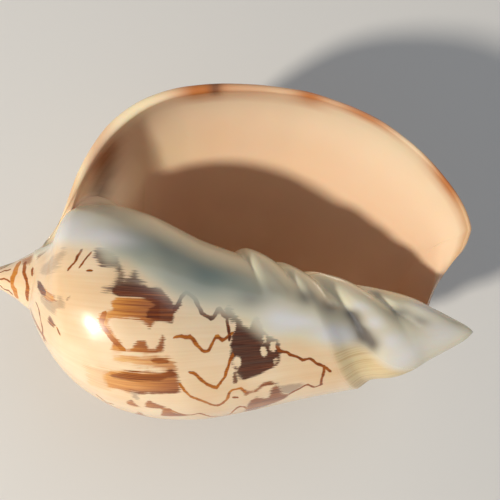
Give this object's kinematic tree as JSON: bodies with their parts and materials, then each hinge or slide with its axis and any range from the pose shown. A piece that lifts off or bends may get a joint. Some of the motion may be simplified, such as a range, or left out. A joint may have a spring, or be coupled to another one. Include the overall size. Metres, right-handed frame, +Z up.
{
  "type": "volute shell",
  "caption": "Large right-coiling sea snail shell with a wide flared mouth, a short pointed spire and folds on its columella, lying on its back with the mouth up.",
  "frame": {"origin": "on the surface the shell lies on, under the middle of its bounding box", "axes": "+X towards the front tip, with the spire at -X; +Y towards the outer lip; +Z up, the way the mouth faces"},
  "size_m": [0.1188, 0.0788, 0.0585],
  "materials": {
    "shell": "glossy cream shell with reddish-brown markings"
  },
  "bodies": {
    "root": {"shell": "shell"}
  },
  "joints": []
}
